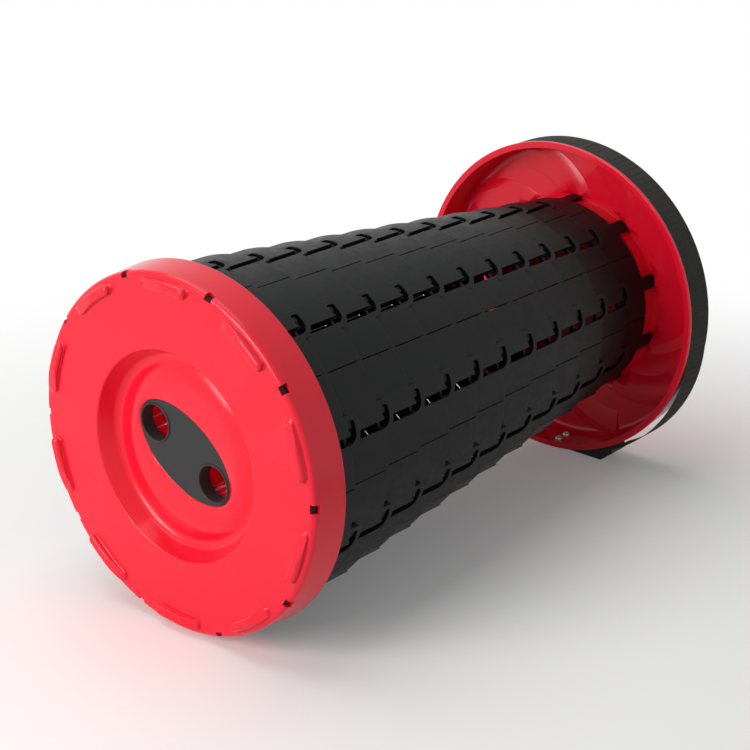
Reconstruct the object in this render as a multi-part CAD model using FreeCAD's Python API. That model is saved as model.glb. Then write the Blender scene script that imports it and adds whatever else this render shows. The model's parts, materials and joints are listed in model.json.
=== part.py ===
import FreeCAD
import Part
import math
import os

# Telescopic stool standing on its feet: +Z along the column, the floor at z = 0, millimetres.
# Rest pose: drawn out to full height, every peg in its hook.

# Column of nested rings
RING_COUNT = 12
ROW_COUNT = 10  # hook slots round each ring
RING_PITCH = 35.0  # rise of each ring over the one outside it
RING_OUTER_R = 117.4  # outermost ring
RING_WALL = 2.8
RING_GAP = 0.7  # radial clearance between neighbouring rings
RING_LAP = 1.0  # straight top edge above the next ring's bottom edge

# Pegs at each ring's foot and the cane-shaped slots they lock in
PEG_R = 2.4
PEG_HEIGHT = 5.0  # peg centre above the ring's bottom edge
PEG_FIT = 0.3  # clearance round a peg
HOOK_SHIFT = 2.2  # sideways from midway between two slits to the hook's middle
HOOK_OFFSET = 8.8  # sideways from the straight slot to the peg's seat
HOOK_DROP = 1.2  # depth of the seat under the slot's cross leg
HOOK_BEND_R = 7.5  # outside bend of the cane
HOOK_TIP_R = 1.8  # rounding over the peg's seat
SEAT_CHAMFER = 1.3  # cut corner of the peg's seat
LIP_WIDTH = 0.95  # top of the lip that keeps the peg in its seat
LIP_RAMP = 2.3  # run of the lip's sloping side
LOBE_MARGIN = 3.4  # wall left round each hook, standing above the straight edge
LOBE_ROOT = 6.0  # depth that a lobe reaches below the straight edge
BEND_FLATS = 4  # flats in each bend of the repeated slots and lobes
PEG_FLATS = 12  # sides of each peg
GROOVE_SKIN = 0.9  # wall left outside the guide groove under each seat
SLIT_WIDTH = 0.8
SLIT_START = 6.0  # lower end of the slits midway between the hook rows

# Base shell
FOOT_HEIGHT = 4.0
BASE_WALL = 2.4
BASE_FIT = 0.4  # between the outermost ring and the foot of the base's rim
BASE_RIM_TOP = 29.5
BASE_DRAFT = 2.2  # the rim is this much narrower at the face
BASE_CORNER_R = 3.4
RECESS_MARGIN = 3.2  # between the innermost ring when folded and the recess's wall
RECESS_EDGE_R = 1.6
RECESS_WALL_RUN = 4.3
RECESS_LEDGE_DEPTH = 8.6
RECESS_LEDGE = 6.0
RECESS_DEPTH = 10.5
RECESS_SLOPE = 13.2  # run from the ledge down to the recess's flat floor
LAND_HEIGHT = 0.5  # land inside the base that carries the outermost ring
FOOT_INSET = 0.3  # between a foot and the round corner of the face
FOOT_WIDTH = 7.2
FOOT_SPAN = 16.0  # degrees between the centres of a foot's round ends
FOOT_ROUND = 2.3
FOOT_RAMP = 3.2  # rise of the ramp towards a foot's faded end

# Snap clips that hold the outermost ring in the base
CLIP_WIDTH = 5.0
CLIP_FIT = 0.3
CLIP_REACH = 1.0  # standing out of a clip from the ring
CLIP_HEIGHT = 3.7
CLIP_CHAMFER = 1.2
CLIP_SINK = 0.7  # clip nose above the base's face

# Finger plate in the recess
PLATE_MARGIN = 3.5  # from the plate's ends to the edge of the recess's flat floor
PLATE_WIDTH = 51.0
PLATE_THICK = 2.0
PLATE_TURN = 29.0  # degrees from +X to the plate's long axis
PLATE_FIT = 0.3
PLATE_CHAMFER = 0.4
HOLE_INSET = 14.5  # from the plate's ends to the hole centres
HOLE_R = 12.0
PRY_SPACING = 37.4  # between the two slots beside the plate's lower edge
PRY_LENGTH = 9.0
PRY_WIDTH = 1.0
SLEEVE_WALL = 1.4
SLEEVE_LIP = 0.8  # raised lip round each finger hole
SLEEVE_DEPTH = 8.5
CUP_WALL = 2.0
CUP_DEPTH = 20.0

# Seat shell
FOLD_GAP = 1.0  # between the seat's lip and the base's rim when folded
RIB_CLEARANCE = 5.1  # between the rings and the seat's ribs when folded
SEAT_WALL = 2.6
SEAT_DISH = 2.0  # hollow of the seat's top under its rim
SEAT_DISH_RUN = 11.0
SEAT_RIM_WIDTH = 10.4
SKIRT_OVERHANG = 1.0  # of the seat's skirt past the base's rim
SKIRT_WALL = 2.8
SKIRT_ROLL_R = 8.0
LIP_REACH = 2.2  # of the lip past the skirt
LIP_HEIGHT = 2.5
LIP_ROUND = 1.0
COLLAR_WALL = 2.4
COLLAR_HEIGHT = 11.0
COLLAR_FIT = 0.4
TAB_WIDTH = 10.0  # tabs of the innermost ring that carry the seat
TAB_ROUND = 1.5
RIB_RISE = 1.1
RIB_WIDTH = 7.0
RIB_CREST = 4.0
RIB_MARGIN = 6.4  # from a rib's outer end to the skirt's outside
RIB_OVERRUN = 4.1  # of a rib's inner end past the innermost ring's outside
RIB_OUTER_TURN = -18.4  # degrees from the rib's middle
RIB_INNER_TURN = 11.2
RIB_PHASE = 12.3  # degrees from +X to the first rib's middle

# Carry strap and its anchor on the seat's skirt
STRAP_WIDTH = 20.0
STRAP_THICK = 1.6
STRAP_FIT = 0.3
ANCHOR_TURN = -93.5  # degrees from +X to the anchor's screws
ANCHOR_AHEAD = 10.5  # degrees from the screws to the anchor's thin end
ANCHOR_BEHIND = 24.5  # degrees from the screws to the anchor's thick end
ANCHOR_THIN = 2.2
ANCHOR_THICK = 12.0
ANCHOR_CREST = 18.5  # degrees from the screws to the anchor's thickest place
ANCHOR_END = 8.6  # thickness at the thick end
ANCHOR_ROUND = 1.0
STRAP_LEAVES = 30.0  # degrees before the anchor's thick end
STRAP_SLACK = 4.3  # standing off of the strap where it meets the anchor
SCREW_R = 1.5
SCREW_HEAD_R = 3.1
SCREW_HEAD = 1.8
SCREW_GRIP = 5.0  # length past the skirt's inner face
SCREW_FIT = 0.1
SCREW_LIFT = 0.25  # between a screw's head and the skirt
SCREW_SPACING = 10.7

# Allowances of the modelling itself
WELD = 0.5  # overlap of shapes that are joined into one piece
PAST = 1.0  # run of a cutter past the face it opens
SAME = 1e-6  # lengths closer than this count as equal

V = FreeCAD.Vector
UP = V(0, 0, 1)
ORIGIN = V(0, 0, 0)

ROW_STEP = 360.0 / ROW_COUNT
RING_STEP = RING_WALL + RING_GAP
RING_EDGE = RING_PITCH + RING_LAP
INNERMOST_R = RING_OUTER_R - RING_STEP * (RING_COUNT - 1)
SLOT_HALF = PEG_R + PEG_FIT
SLOT_X = -HOOK_SHIFT - HOOK_OFFSET / 2
SEAT_X = -HOOK_SHIFT + HOOK_OFFSET / 2
SEAT_SPREAD = abs(SEAT_X) + SLOT_HALF
SEAT_HEIGHT = RING_PITCH + PEG_HEIGHT
SLOT_TOP = SEAT_HEIGHT + HOOK_DROP + SLOT_HALF
RING_TOP = SLOT_TOP + LOBE_MARGIN
TRAVEL = RING_PITCH * (RING_COUNT - 1)
FACE_Z = FOOT_HEIGHT
INSIDE_Z = FACE_Z + BASE_WALL
COLUMN_Z = INSIDE_Z + LAND_HEIGHT
BASE_FACE_R = RING_OUTER_R + BASE_FIT + BASE_WALL
BASE_RIM_R = BASE_FACE_R + BASE_DRAFT
FOOT_R = BASE_FACE_R - BASE_CORNER_R - FOOT_INSET - FOOT_WIDTH / 2
RECESS_R = INNERMOST_R - RING_WALL - RECESS_MARGIN - BASE_WALL
LEDGE_R = RECESS_R - RECESS_WALL_RUN
RECESS_FLAT_R = LEDGE_R - RECESS_LEDGE - RECESS_SLOPE
PLATE_LENGTH = 2 * (RECESS_FLAT_R - PLATE_MARGIN)
HOLE_SPACING = PLATE_LENGTH - 2 * HOLE_INSET
SKIRT_R = BASE_RIM_R + SKIRT_OVERHANG
SKIRT_INNER_R = SKIRT_R - SKIRT_WALL
LIP_R = SKIRT_R + LIP_REACH
SEAT_RIM_R = SKIRT_R - SEAT_RIM_WIDTH
SEAT_DISH_R = SEAT_RIM_R - SEAT_DISH_RUN
RIB_OUTER_R = SKIRT_R - RIB_MARGIN
RIB_INNER_R = INNERMOST_R - RIB_OVERRUN
SEAT_RIB_Z = COLUMN_Z + RING_TOP + TRAVEL + RIB_CLEARANCE
SEAT_UNDER_Z = SEAT_RIB_Z + RIB_RISE
SEAT_TOP_Z = SEAT_UNDER_Z + SEAT_WALL
SEAT_LIP_Z = BASE_RIM_TOP + FOLD_GAP + TRAVEL
STRAP_Z = SEAT_LIP_Z + LIP_HEIGHT + STRAP_FIT
PLATE_Z = FACE_Z + RECESS_DEPTH


def ring_r(number):
    """Outside radius of a ring, counted from 1 at the base."""
    return RING_OUTER_R - RING_STEP * (number - 1)


def groove_floor(number):
    """Distance from the axis to the floor of a ring's guide grooves."""
    return peg_land(number) - GROOVE_SKIN


def outline(corners, flats=0):
    """Closed wire in the XZ plane through corners (x, z, rounding), in arcs or in a few flats each."""
    points = [V(x, 0, z) for x, z, _ in corners]
    bends = []
    for i, (_, _, radius) in enumerate(corners):
        here = points[i]
        back = (points[i - 1] - here).normalize()
        ahead = (points[(i + 1) % len(points)] - here).normalize()
        if radius == 0:
            bends.append((here, here, here))
            continue
        half = back.getAngle(ahead) / 2
        reach = radius / math.tan(half)
        inward = (back + ahead).normalize() * (radius / math.sin(half) - radius)
        bends.append((here + back * reach, here + inward, here + ahead * reach))
    edges = []
    for i, (start, middle, end) in enumerate(bends):
        following = bends[(i + 1) % len(bends)][0]
        if start.distanceToPoint(end) > SAME:
            bend = Part.Arc(start, middle, end).toShape()
            stops = bend.discretize(flats + 1) if flats else []
            edges += [Part.makeLine(a, b) for a, b in zip(stops, stops[1:])] or [bend]
        if end.distanceToPoint(following) > SAME:
            edges.append(Part.makeLine(end, following))
    return Part.Wire(edges)


def turned(corners):
    """Solid of revolution about Z from corners (radius, z, rounding)."""
    return Part.Face(outline(corners)).revolve(ORIGIN, UP, 360)


def prism(corners, near, far, flats=0):
    """Outline in the XZ plane drawn out along +Y from near to far."""
    face = Part.Face(outline(corners, flats))
    face.translate(V(0, near, 0))
    return face.extrude(V(0, far - near, 0))


def side_prism(corners, width):
    """Outline of (y, z, rounding) corners in the YZ plane, width wide across x = 0."""
    face = Part.Face(outline(corners))
    face.rotate(ORIGIN, UP, 90)
    face.translate(V(width / 2, 0, 0))
    return face.extrude(V(-width, 0, 0))


def tube(outer, inner, bottom, height):
    """Upright tube on the column's axis."""
    wall = Part.makeCylinder(outer, height, V(0, 0, bottom))
    return wall.cut(Part.makeCylinder(inner, height, V(0, 0, bottom)))


def copies(shape, first=0.0):
    """A compound of the shape repeated at every hook row, turned by first degrees."""
    out = []
    for i in range(ROW_COUNT):
        one = shape.copy()
        one.rotate(ORIGIN, UP, first + ROW_STEP * i)
        out.append(one)
    return Part.makeCompound(out)


def polar(radius, degrees, height=0.0):
    """Point at a radius and an angle from +X."""
    angle = math.radians(degrees)
    return V(radius * math.cos(angle), radius * math.sin(angle), height)


def slot_cutter(outer):
    """Cane-shaped slot: a straight run, a bend, and a seat with a keeping lip."""
    left = SLOT_X - SLOT_HALF
    right = SEAT_X + SLOT_HALF
    inner = SLOT_X + SLOT_HALF
    lip = inner + LIP_WIDTH
    lip_z = SEAT_HEIGHT + HOOK_DROP - SLOT_HALF
    floor = SEAT_HEIGHT - SLOT_HALF
    bottom = PEG_HEIGHT - SLOT_HALF
    corners = [
        (left, bottom, 0),
        (left, SLOT_TOP, HOOK_BEND_R),
        (right, SLOT_TOP, HOOK_TIP_R),
        (right, floor + SEAT_CHAMFER, 0),
        (right - SEAT_CHAMFER, floor, 0),
        (lip + LIP_RAMP, floor, 0),
        (lip, lip_z, 0),
        (inner, lip_z, 0),
        (inner, bottom, 0),
    ]
    return prism(corners, outer - 3 * RING_WALL, outer + RING_WALL, BEND_FLATS)


def lobe(outer):
    """Rounded ear of wall round a hook, standing above the ring's straight edge."""
    left = SLOT_X - SLOT_HALF - LOBE_MARGIN
    right = SEAT_X + SLOT_HALF + LOBE_MARGIN
    root = RING_EDGE - LOBE_ROOT
    corners = [
        (left, root, 0),
        (left, RING_TOP, HOOK_BEND_R + LOBE_MARGIN),
        (right, RING_TOP, HOOK_TIP_R + LOBE_MARGIN),
        (right, root, 0),
    ]
    return prism(corners, outer - 3 * RING_WALL, outer + RING_WALL, BEND_FLATS)


def seat_tab(outer):
    """Square tab of the innermost ring, up to the seat's underside."""
    top = SEAT_UNDER_Z - COLUMN_Z - TRAVEL
    root = RING_EDGE - LOBE_ROOT
    half = TAB_WIDTH / 2
    corners = [(-half, root, 0), (-half, top, TAB_ROUND), (half, top, TAB_ROUND), (half, root, 0)]
    return prism(corners, outer - 3 * RING_WALL, outer + RING_WALL, BEND_FLATS)


def peg_land(number):
    """Distance from the axis to the small flat that each peg stands on."""
    return math.sqrt(ring_r(number) ** 2 - SEAT_SPREAD ** 2)


def land_cutter(number):
    """Cut that flattens a ring's outside face under one peg."""
    corner = V(SEAT_X - SLOT_HALF, peg_land(number), -PAST)
    return Part.makeBox(2 * SLOT_HALF, RING_WALL, PEG_HEIGHT + SLOT_HALF + PAST, corner)


def peg(number):
    """Round peg on a ring's foot, reaching into the guide groove of the ring outside it."""
    corners = []
    for i in range(PEG_FLATS):
        angle = 2 * math.pi * i / PEG_FLATS
        corners.append((SEAT_X + PEG_R * math.cos(angle), PEG_HEIGHT + PEG_R * math.sin(angle), 0))
    return prism(corners, peg_land(number) - GROOVE_SKIN / 2, groove_floor(number - 1) - PEG_FIT)


def guide_groove(number):
    """Groove inside a ring, under a hook's seat, down which the next ring's peg slides."""
    near = ring_r(number) - 3 * RING_WALL
    size = groove_floor(number) - near
    corner = V(SEAT_X - SLOT_HALF, near, -PAST)
    return Part.makeBox(2 * SLOT_HALF, size, SEAT_HEIGHT + PAST, corner)


def slit(outer):
    """Narrow cut from the straight edge down, midway between two hook rows."""
    corner = V(-SLIT_WIDTH / 2, outer - 3 * RING_WALL, SLIT_START)
    cut = Part.makeBox(SLIT_WIDTH, 4 * RING_WALL, RING_TOP, corner)
    cut.rotate(ORIGIN, UP, ROW_STEP / 2)
    return cut


def clip():
    """Snap clip on the outermost ring's foot: a chamfered nose for a window of the base's corner."""
    root = RING_OUTER_R - WELD
    nose = RING_OUTER_R + CLIP_REACH
    low = FACE_Z + CLIP_SINK - COLUMN_Z
    corners = [
        (root, low + CLIP_HEIGHT, 0),
        (nose, low + CLIP_HEIGHT, 0),
        (nose, low + CLIP_CHAMFER, 0),
        (nose - CLIP_CHAMFER, low, 0),
        (root, low, 0),
    ]
    arm = side_prism(corners, CLIP_WIDTH)
    arm.rotate(ORIGIN, UP, ROW_STEP / 2)
    return arm


def make_ring(number):
    """One ring of the column at its drawn-out place."""
    outer = ring_r(number)
    inner = outer - RING_WALL
    innermost = number == RING_COUNT
    ear = seat_tab(outer) if innermost else lobe(outer)
    tall = tube(outer, inner, 0, SEAT_UNDER_Z - COLUMN_Z - TRAVEL if innermost else RING_TOP)
    ring = tube(outer, inner, 0, RING_EDGE).fuse(tall.common(copies(ear)))
    cuts = [copies(slit(outer))]
    if not innermost:
        cuts += [copies(slot_cutter(outer)), copies(guide_groove(number))]
    ring = ring.cut(cuts)
    if number == 1:
        ring = ring.fuse(copies(clip()))
    else:
        ring = ring.cut(copies(land_cutter(number))).fuse(copies(peg(number)))
    ring.translate(V(0, 0, COLUMN_Z + RING_PITCH * (number - 1)))
    return ring.removeSplitter()


def foot():
    """Ramped foot bar under the base's face, highest at its far end."""
    half = FOOT_WIDTH / 2
    ends = [90 - FOOT_SPAN / 2, 90 + FOOT_SPAN / 2]
    cap = math.degrees(half / FOOT_R)
    outer, inner = FOOT_R + half, FOOT_R - half
    edges = [
        Part.Arc(polar(outer, ends[0]), polar(outer, 90), polar(outer, ends[1])),
        Part.Arc(polar(outer, ends[1]), polar(FOOT_R, ends[1] + cap), polar(inner, ends[1])),
        Part.Arc(polar(inner, ends[1]), polar(inner, 90), polar(inner, ends[0])),
        Part.Arc(polar(inner, ends[0]), polar(FOOT_R, ends[0] - cap), polar(outer, ends[0])),
    ]
    bar = Part.Face(Part.Wire([e.toShape() for e in edges])).extrude(V(0, 0, FOOT_HEIGHT + WELD))
    floor_edges = [e for e in bar.Edges if abs(e.BoundBox.ZMax) < SAME]
    bar = bar.makeFillet(FOOT_ROUND, floor_edges)
    length = FOOT_R * math.radians(FOOT_SPAN) + 2 * FOOT_WIDTH
    ramp = [(0, 0, 0), (length / 2, FOOT_RAMP, 0), (length / 2, -PAST, 0), (0, -PAST, 0)]
    return bar.cut(prism(ramp, inner - FOOT_WIDTH, outer + FOOT_WIDTH))


def clip_window():
    """Window through the base's corner for one clip."""
    width = CLIP_WIDTH + 2 * CLIP_FIT
    near = RING_OUTER_R - WELD - CLIP_FIT
    top = FACE_Z + CLIP_SINK + CLIP_HEIGHT + CLIP_FIT
    window = Part.makeBox(width, BASE_RIM_R - near, top, V(-width / 2, near, 0))
    window.rotate(ORIGIN, UP, ROW_STEP / 2)
    return window


def on_plate(shape):
    """Turns a shape drawn along +X to the finger plate's long axis."""
    shape.rotate(ORIGIN, UP, PLATE_TURN)
    return shape


def oval(grow, bottom, height):
    """Upright elliptic block of the finger plate's outline, grown by a clearance."""
    ellipse = Part.Ellipse(V(0, 0, bottom), PLATE_LENGTH / 2 + grow, PLATE_WIDTH / 2 + grow)
    return Part.Face(Part.Wire(ellipse.toShape())).extrude(V(0, 0, height))


def pry_slots(bottom, height):
    """Two short widenings of the plate's seat, through which it can be pried out."""
    strips = []
    for x in (-PRY_SPACING / 2, PRY_SPACING / 2):
        corner = V(x - PRY_LENGTH / 2, -PLATE_WIDTH, bottom)
        strips.append(Part.makeBox(PRY_LENGTH, PLATE_WIDTH, height, corner))
    return oval(PLATE_FIT + PRY_WIDTH, bottom, height).common(Part.makeCompound(strips))


def at_holes(radius, bottom, height):
    """Two upright cylinders at the finger holes."""
    places = [V(x, 0, bottom) for x in (-HOLE_SPACING / 2, HOLE_SPACING / 2)]
    return Part.makeCompound([Part.makeCylinder(radius, height, p) for p in places])


def make_base_shell():
    """Base: flat face with feet, drafted rim, stepped recess and two finger cups."""
    ledge_z = FACE_Z + RECESS_LEDGE_DEPTH
    land_r = RING_OUTER_R - RING_WALL
    pocket = PLATE_Z + PLATE_THICK
    shell = turned([
        (0, PLATE_Z, 0),
        (RECESS_FLAT_R, PLATE_Z, 0),
        (LEDGE_R - RECESS_LEDGE, ledge_z, 0),
        (LEDGE_R, ledge_z, 0),
        (RECESS_R, FACE_Z, RECESS_EDGE_R),
        (BASE_FACE_R, FACE_Z, BASE_CORNER_R),
        (BASE_RIM_R, BASE_RIM_TOP, 0),
        (BASE_RIM_R - BASE_WALL, BASE_RIM_TOP, 0),
        (BASE_FACE_R - BASE_WALL, COLUMN_Z, 0),
        (land_r, COLUMN_Z, 0),
        (land_r, INSIDE_Z, 0),
        (RECESS_R + BASE_WALL, INSIDE_Z, 0),
        (LEDGE_R + BASE_WALL, ledge_z + BASE_WALL, 0),
        (LEDGE_R - RECESS_LEDGE, ledge_z + BASE_WALL, 0),
        (RECESS_FLAT_R, pocket + CUP_WALL, 0),
        (0, pocket + CUP_WALL, 0),
    ])
    cup_r = HOLE_R + SLEEVE_WALL + PLATE_FIT
    cups = at_holes(cup_r + CUP_WALL, pocket, CUP_DEPTH)
    bores = at_holes(cup_r, PLATE_Z - PAST, CUP_DEPTH + PLATE_THICK - CUP_WALL + PAST)
    seat = oval(PLATE_FIT, PLATE_Z - PAST, PLATE_THICK + PAST)
    slots = pry_slots(PLATE_Z - PAST, PLATE_THICK + PAST)
    shell = shell.fuse([on_plate(cups), copies(foot())])
    return shell.cut([on_plate(seat), on_plate(slots), on_plate(bores), copies(clip_window())])


def make_finger_plate():
    """Oval plate set flush in the recess, with a raised lip and a sleeve at each finger hole."""
    plate = oval(0, PLATE_Z, PLATE_THICK)
    rim = [e for e in plate.Edges if abs(e.BoundBox.ZMax - PLATE_Z) < SAME]
    plate = plate.makeChamfer(PLATE_CHAMFER, rim)
    top = PLATE_Z - SLEEVE_LIP
    depth = SLEEVE_LIP + SLEEVE_DEPTH
    plate = plate.fuse(at_holes(HOLE_R + SLEEVE_WALL, top, depth))
    plate = plate.cut(at_holes(HOLE_R, top - PAST, depth + 2 * PAST))
    lips = [e for e in plate.Edges if abs(e.BoundBox.ZMax - top) < SAME]
    return on_plate(plate.makeChamfer(PLATE_CHAMFER, lips))


def swirl_rib():
    """Curved rib of tapered section along an arc from near the skirt to the column."""
    height = SEAT_RIB_Z
    ends = [polar(RIB_OUTER_R, RIB_OUTER_TURN, height), polar(RIB_INNER_R, RIB_INNER_TURN, height)]
    middle = polar((RIB_OUTER_R + RIB_INNER_R) / 2, 0, height)
    path = Part.Arc(ends[0], middle, ends[1]).toShape()
    centre = path.Curve.Center
    start = ends[0] - centre
    end = ends[1] - centre
    sweep = math.degrees(math.atan2(start.cross(end).z, start.dot(end)))
    across = V(start).normalize()
    crest = across * (RIB_CREST / 2)
    root = across * (RIB_WIDTH - RIB_CREST / 2) + UP * (2 * RIB_RISE)
    sunk = across * (RIB_CREST / 2 - RIB_WIDTH) + UP * (2 * RIB_RISE)
    corners = [ends[0] - crest, ends[0] + crest, ends[0] + root, ends[0] + sunk]
    rib = Part.Face(Part.makePolygon(corners + corners[:1])).revolve(centre, UP, sweep)
    rib.rotate(ORIGIN, UP, RIB_PHASE)
    return rib


def make_seat_shell():
    """Seat: dished top with swirl ribs beneath, rolled rim, skirt with a lip, and a collar."""
    rim_z = SEAT_TOP_Z + SEAT_DISH
    collar_r = ring_r(RING_COUNT) - RING_WALL - COLLAR_FIT
    lip_top = SEAT_LIP_Z + LIP_HEIGHT
    shell = turned([
        (0, SEAT_TOP_Z, 0),
        (SEAT_DISH_R, SEAT_TOP_Z, 0),
        (SEAT_RIM_R, rim_z, 0),
        (SKIRT_R, rim_z, SKIRT_ROLL_R),
        (SKIRT_R, lip_top, 0),
        (LIP_R, lip_top, 0),
        (LIP_R, SEAT_LIP_Z, LIP_ROUND),
        (SKIRT_INNER_R, SEAT_LIP_Z, 0),
        (SKIRT_INNER_R, SEAT_UNDER_Z, SKIRT_ROLL_R - SKIRT_WALL),
        (collar_r, SEAT_UNDER_Z, 0),
        (collar_r, SEAT_UNDER_Z - COLLAR_HEIGHT, 0),
        (collar_r - COLLAR_WALL, SEAT_UNDER_Z - COLLAR_HEIGHT, 0),
        (collar_r - COLLAR_WALL, SEAT_UNDER_Z, 0),
        (0, SEAT_UNDER_Z, 0),
    ])
    zone = tube(SKIRT_INNER_R + PAST, INNERMOST_R, SEAT_RIB_Z, SEAT_WALL)
    ribs = copies(swirl_rib()).common(zone)
    grooves = copies(swirl_rib())
    grooves.translate(V(0, 0, SEAT_TOP_Z - SEAT_UNDER_Z))
    grooves = grooves.common(Part.makeCylinder(SEAT_DISH_R, SEAT_TOP_Z + SEAT_DISH))
    return shell.fuse(ribs).cut([grooves, screw_shanks(SCREW_R + SCREW_FIT)])


def screw_places():
    """Heights of the strap screws, and the way that their shanks point."""
    middle = STRAP_Z + STRAP_WIDTH / 2
    heights = [middle - SCREW_SPACING / 2, middle + SCREW_SPACING / 2]
    return heights, polar(1, ANCHOR_TURN)


def screw_shanks(radius):
    """The two screws' shanks, through the skirt and into the anchor."""
    heights, out = screw_places()
    starts = [polar(SKIRT_INNER_R - WELD, ANCHOR_TURN, z) for z in heights]
    return Part.makeCompound([Part.makeCylinder(radius, SCREW_GRIP + WELD, p, out) for p in starts])


def make_strap_screws():
    """Two domed screws from inside the skirt."""
    heights, out = screw_places()
    dome_r = (SCREW_HEAD_R ** 2 + SCREW_HEAD ** 2) / (2 * SCREW_HEAD)
    solids = []
    for z in heights:
        under = polar(SKIRT_INNER_R - SCREW_LIFT, ANCHOR_TURN, z)
        ball = Part.makeSphere(dome_r, under + out * (dome_r - SCREW_HEAD))
        head = ball.common(Part.makeCylinder(SCREW_HEAD_R + PAST, SCREW_HEAD + PAST, under, out * -1))
        shank = Part.makeCylinder(SCREW_R, SCREW_GRIP, under - out * WELD, out)
        solids.append(head.fuse(shank).removeSplitter())
    return Part.makeCompound([s.Solids[0] for s in solids])


def make_strap_anchor():
    """Wedge-shaped anchor on the skirt that the strap's two ends meet."""
    seat = SKIRT_R + STRAP_FIT
    thin_end = ANCHOR_TURN + ANCHOR_AHEAD
    thick_end = ANCHOR_TURN - ANCHOR_BEHIND
    crest = polar(SKIRT_R + ANCHOR_THICK, ANCHOR_TURN - ANCHOR_CREST)
    corners = [
        polar(seat, thin_end),
        polar(SKIRT_R + ANCHOR_THIN, thin_end),
        crest,
        polar(SKIRT_R + ANCHOR_END, thick_end),
        polar(seat, thick_end),
    ]
    edges = [Part.makeLine(a, b) for a, b in zip(corners, corners[1:])]
    edges.append(Part.Arc(corners[-1], polar(seat, ANCHOR_TURN), corners[0]).toShape())
    block = Part.Face(Part.Wire(edges)).extrude(V(0, 0, STRAP_WIDTH))
    outer = [e for e in block.Edges if min(math.hypot(v.X, v.Y) for v in e.Vertexes) > seat + PAST]
    block = block.makeFillet(ANCHOR_ROUND, outer)
    block.translate(V(0, 0, STRAP_Z))
    return block.cut(screw_shanks(SCREW_R + SCREW_FIT))


def make_carry_strap():
    """Webbing round the skirt from the anchor's thin end, slack before its thick end."""
    inner = SKIRT_R + STRAP_FIT
    gap = math.degrees(STRAP_FIT / inner)
    begin = ANCHOR_TURN + ANCHOR_AHEAD + gap
    meets = ANCHOR_TURN - ANCHOR_BEHIND - gap + 360
    leaves = meets - STRAP_LEAVES
    section = Part.makePolygon([
        V(inner, 0, STRAP_Z),
        V(inner + STRAP_THICK, 0, STRAP_Z),
        V(inner + STRAP_THICK, 0, STRAP_Z + STRAP_WIDTH),
        V(inner, 0, STRAP_Z + STRAP_WIDTH),
        V(inner, 0, STRAP_Z),
    ])
    hug = Part.Face(section)
    hug.rotate(ORIGIN, UP, begin)
    wrap = hug.revolve(ORIGIN, UP, leaves - begin)
    faces = []
    for side in (0, STRAP_THICK):
        start = polar(inner + side, leaves)
        middle = polar(inner + side + STRAP_SLACK / 4, leaves + STRAP_LEAVES / 2)
        faces.append((start, middle, polar(inner + side + STRAP_SLACK, meets)))
    (a, b, c), (d, e, f) = faces
    edges = [
        Part.Arc(a, b, c).toShape(),
        Part.makeLine(c, f),
        Part.Arc(f, e, d).toShape(),
        Part.makeLine(d, a),
    ]
    slack = Part.Face(Part.Wire(edges)).extrude(V(0, 0, STRAP_WIDTH))
    slack.translate(V(0, 0, STRAP_Z))
    return wrap.fuse(slack).removeSplitter()


def main():
    """Builds every piece and writes one file for each."""
    pieces = {
        "base_shell": make_base_shell(),
        "finger_plate": make_finger_plate(),
        "seat_shell": make_seat_shell(),
        "carry_strap": make_carry_strap(),
        "strap_anchor": make_strap_anchor(),
        "strap_screws": make_strap_screws(),
    }
    for number in range(1, RING_COUNT + 1):
        pieces[f"ring_{number:02d}"] = make_ring(number)
    os.makedirs("parts", exist_ok=True)
    for name, shape in pieces.items():
        shape.exportStep(os.path.join("parts", name + ".step"))
        print(f"{name}: {len(shape.Solids)} solids, {shape.Volume / 1000:.2f} cm3, valid {shape.isValid()}")


main()
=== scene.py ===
import json
import math

import bpy
from mathutils import Matrix, Vector


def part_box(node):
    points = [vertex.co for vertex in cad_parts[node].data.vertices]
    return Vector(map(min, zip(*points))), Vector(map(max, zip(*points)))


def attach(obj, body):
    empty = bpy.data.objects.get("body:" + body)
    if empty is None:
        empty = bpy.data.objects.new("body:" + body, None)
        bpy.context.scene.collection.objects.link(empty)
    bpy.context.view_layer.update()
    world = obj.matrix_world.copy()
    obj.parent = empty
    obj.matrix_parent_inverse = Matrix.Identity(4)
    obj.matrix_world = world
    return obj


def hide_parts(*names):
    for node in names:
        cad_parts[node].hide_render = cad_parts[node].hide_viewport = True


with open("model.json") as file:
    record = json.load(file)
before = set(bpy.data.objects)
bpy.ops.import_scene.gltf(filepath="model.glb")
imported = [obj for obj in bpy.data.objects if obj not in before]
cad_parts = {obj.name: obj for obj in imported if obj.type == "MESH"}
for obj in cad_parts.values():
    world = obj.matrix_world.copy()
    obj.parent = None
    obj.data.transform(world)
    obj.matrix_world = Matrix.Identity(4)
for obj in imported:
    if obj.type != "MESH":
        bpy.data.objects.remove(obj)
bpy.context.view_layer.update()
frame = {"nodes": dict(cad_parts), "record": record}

bl_info = {
    "name": "Telescopic stool",
    "version": (1, 0, 0),
    "blender": (4, 5, 0),
    "location": "View3D > Sidebar > Stool",
    "description": "Finishes, webbing, peg faces, screws and stage for a telescopic folding stool",
    "category": "Object",
}

MM = 0.001

RINGS = sorted(name for name in frame["nodes"] if name.startswith("ring_"))
PEGGED_RINGS = RINGS[1:]
BODY_OF = {node: body for body, nodes in frame["record"]["behaviour"]["bodies"].items() for node in nodes}
ROW_COUNT = 10
SEAT_UNDER_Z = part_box("seat_shell")[1].z - 4.6 * MM  # the seat's wall and dish lie above
FACE_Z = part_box("base_shell")[0].z + 4.0 * MM  # the feet stand this far out of the face
STRAP_LOW, STRAP_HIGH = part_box("carry_strap")
SCREW_LOW, SCREW_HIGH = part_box("strap_screws")

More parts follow.
